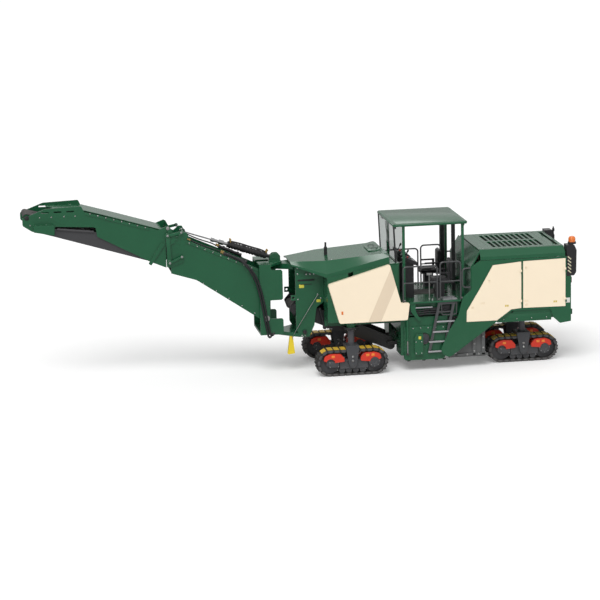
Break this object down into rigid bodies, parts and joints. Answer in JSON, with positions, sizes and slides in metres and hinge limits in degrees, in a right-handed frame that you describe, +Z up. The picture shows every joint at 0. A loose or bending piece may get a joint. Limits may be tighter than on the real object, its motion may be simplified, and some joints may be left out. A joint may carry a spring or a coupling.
{
  "type": "cold planer milling machine",
  "caption": "Road milling machine on lifting, steering crawler tracks, with a milling drum under the body, a roofed operator's stand and a folding discharge conveyor in front.",
  "frame": {"origin": "on the ground under the middle of the whole length, conveyor included", "axes": "+X forward along the conveyor, +Y to the machine's left, +Z up"},
  "size_m": [14.3228, 2.556, 4.6691],
  "materials": {
    "green_paint": "gloss",
    "cream_paint": "gloss",
    "grey_paint": "satin",
    "black_paint": "satin",
    "engine_iron": "rough",
    "drum_steel": "worn",
    "belt_rubber": "matt",
    "rod_chrome": "polished",
    "clear_glass": "clear",
    "seat_vinyl": "grained",
    "beacon_orange": "gloss",
    "yellow_paint": "satin",
    "track_pads": "worn",
    "undercarriage_paint": "satin",
    "guard_red": "satin",
    "leg_steel": "satin"
  },
  "bodies": {
    "chassis": {"beacon": "beacon_orange", "canopy_posts": "green_paint", "canopy_roof": "green_paint", "consoles": "black_paint", "corner_boxes": "grey_paint", "drum_housing": "green_paint", "engine_bay_walls": "green_paint", "engine_block": "engine_iron", "fenders": "cream_paint", "front_cover": "green_paint", "front_tanks": "green_paint", "front_tower": "green_paint", "handrails": "black_paint", "ladders": "black_paint", "lashing_eyes": "black_paint", "lift_posts": "black_paint", "loading_belt": "belt_rubber", "loading_frame": "green_paint", "main_frame": "green_paint", "masts": "black_paint", "platform": "green_paint", "seat_pedestals": "black_paint", "seats": "seat_vinyl", "side_panels": "green_paint", "wheel_chock": "yellow_paint", "windscreen": "clear_glass"},
    "leg_front_left": {"lift_leg_front_left": "leg_steel"},
    "track_front_left": {"track_belt_front_left": "track_pads", "undercarriage_front_left": "undercarriage_paint", "track_guards_front_left": "guard_red"},
    "leg_front_right": {"lift_leg_front_right": "leg_steel"},
    "track_front_right": {"track_belt_front_right": "track_pads", "undercarriage_front_right": "undercarriage_paint", "track_guards_front_right": "guard_red"},
    "leg_rear_left": {"lift_leg_rear_left": "leg_steel"},
    "track_rear_left": {"track_belt_rear_left": "track_pads", "undercarriage_rear_left": "undercarriage_paint", "track_guards_rear_left": "guard_red"},
    "leg_rear_right": {"lift_leg_rear_right": "leg_steel"},
    "track_rear_right": {"track_belt_rear_right": "track_pads", "undercarriage_rear_right": "undercarriage_paint", "track_guards_rear_right": "guard_red"},
    "drum": {"milling_drum": "drum_steel"},
    "edge_plate_left": {"edge_plate_left": "green_paint"},
    "edge_plate_right": {"edge_plate_right": "green_paint"},
    "scraper": {"scraper": "grey_paint"},
    "door_front_left": {"door_front_left": "cream_paint"},
    "door_rear_left": {"door_rear_left": "cream_paint"},
    "door_front_right": {"door_front_right": "cream_paint"},
    "door_rear_right": {"door_rear_right": "cream_paint"},
    "hood": {"engine_hood": "green_paint"},
    "swivel": {"swivel_frame": "green_paint"},
    "conveyor_inner": {"conveyor_inner_frame": "green_paint", "conveyor_inner_belt": "belt_rubber"},
    "conveyor_outer": {"conveyor_outer_frame": "green_paint", "conveyor_outer_belt": "belt_rubber", "conveyor_tray": "grey_paint", "conveyor_cover": "green_paint"},
    "luff_barrel": {"luff_barrel": "black_paint"},
    "luff_rod": {"luff_rod": "rod_chrome"}
  },
  "joints": [
    {"name": "lift_front_left", "type": "slide", "parent": "chassis", "child": "leg_front_left", "axis": [0, 0, 1], "range_m": [0, 0.35]},
    {"name": "steer_front_left", "type": "hinge", "parent": "leg_front_left", "child": "track_front_left", "pos_m": [-1.1535, 1.04, 0], "axis": [0, 0, 1], "range_deg": [-20, 20]},
    {"name": "lift_front_right", "type": "slide", "parent": "chassis", "child": "leg_front_right", "axis": [0, 0, 1], "range_m": [0, 0.35]},
    {"name": "steer_front_right", "type": "hinge", "parent": "leg_front_right", "child": "track_front_right", "pos_m": [-1.1535, -1.04, 0], "axis": [0, 0, 1], "range_deg": [-20, 20]},
    {"name": "lift_rear_left", "type": "slide", "parent": "chassis", "child": "leg_rear_left", "axis": [0, 0, 1], "range_m": [0, 0.35]},
    {"name": "steer_rear_left", "type": "hinge", "parent": "leg_rear_left", "child": "track_rear_left", "pos_m": [-5.8035, 0.62, 0], "axis": [0, 0, 1], "range_deg": [-20, 20]},
    {"name": "lift_rear_right", "type": "slide", "parent": "chassis", "child": "leg_rear_right", "axis": [0, 0, 1], "range_m": [0, 0.35]},
    {"name": "steer_rear_right", "type": "hinge", "parent": "leg_rear_right", "child": "track_rear_right", "pos_m": [-5.8035, -0.62, 0], "axis": [0, 0, 1], "range_deg": [-20, 20]},
    {"name": "drum_spin", "type": "hinge", "parent": "chassis", "child": "drum", "pos_m": [-3.0785, 0, 0.83], "axis": [0, 1, 0], "continuous": true},
    {"name": "edge_plate_lift_left", "type": "slide", "parent": "chassis", "child": "edge_plate_left", "axis": [0, 0, 1], "range_m": [0, 0.3]},
    {"name": "edge_plate_lift_right", "type": "slide", "parent": "chassis", "child": "edge_plate_right", "axis": [0, 0, 1], "range_m": [0, 0.3]},
    {"name": "scraper_lift", "type": "slide", "parent": "chassis", "child": "scraper", "axis": [0, 0, 1], "range_m": [0, 0.22]},
    {"name": "door_front_left_hinge", "type": "hinge", "parent": "chassis", "child": "door_front_left", "pos_m": [-5.6475, 1.262, 2.15], "axis": [0, 0, 1], "range_deg": [0, 90]},
    {"name": "door_rear_left_hinge", "type": "hinge", "parent": "chassis", "child": "door_rear_left", "pos_m": [-6.8325, 1.262, 2.15], "axis": [0, 0, 1], "range_deg": [0, 100]},
    {"name": "door_front_right_hinge", "type": "hinge", "parent": "chassis", "child": "door_front_right", "pos_m": [-5.6475, -1.262, 2.15], "axis": [0, 0, -1], "range_deg": [0, 90]},
    {"name": "door_rear_right_hinge", "type": "hinge", "parent": "chassis", "child": "door_rear_right", "pos_m": [-6.8325, -1.262, 2.15], "axis": [0, 0, -1], "range_deg": [0, 100]},
    {"name": "hood_hinge", "type": "hinge", "parent": "chassis", "child": "hood", "pos_m": [-4.5535, 0, 3.115], "axis": [0, 1, 0], "range_deg": [0, 45]},
    {"name": "conveyor_slew", "type": "hinge", "parent": "chassis", "child": "swivel", "pos_m": [0.6415, 0, 2.8], "axis": [0, 0, 1], "range_deg": [-45, 45]},
    {"name": "conveyor_luff", "type": "hinge", "parent": "swivel", "child": "conveyor_inner", "pos_m": [0.9715, 0, 1.5], "axis": [0, -1, 0], "range_deg": [-28, 2]},
    {"name": "conveyor_fold", "type": "hinge", "parent": "conveyor_inner", "child": "conveyor_outer", "pos_m": [3.4715, 0, 3.99], "axis": [0, -1, 0], "range_deg": [0, 165]},
    {"name": "luff_barrel_pivot", "type": "hinge", "parent": "swivel", "child": "luff_barrel", "pos_m": [0.7015, 0, 2.99], "axis": [0, -1, 0], "range_deg": [-28, 2.5]},
    {"name": "luff_rod_slide", "type": "slide", "parent": "luff_barrel", "child": "luff_rod", "axis": [0.945, 0, 0.3271], "range_m": [-0.06, 0.75]}
  ],
  "couplings": [
    {"joint": "steer_front_right", "follows": "steer_front_left", "ratio": 1},
    {"joint": "steer_rear_right", "follows": "steer_rear_left", "ratio": 1},
    {"joint": "luff_barrel_pivot", "follows": "conveyor_luff", "ratio": 0.975},
    {"joint": "luff_rod_slide", "follows": "conveyor_luff", "m_per_rad": -1.51}
  ]
}
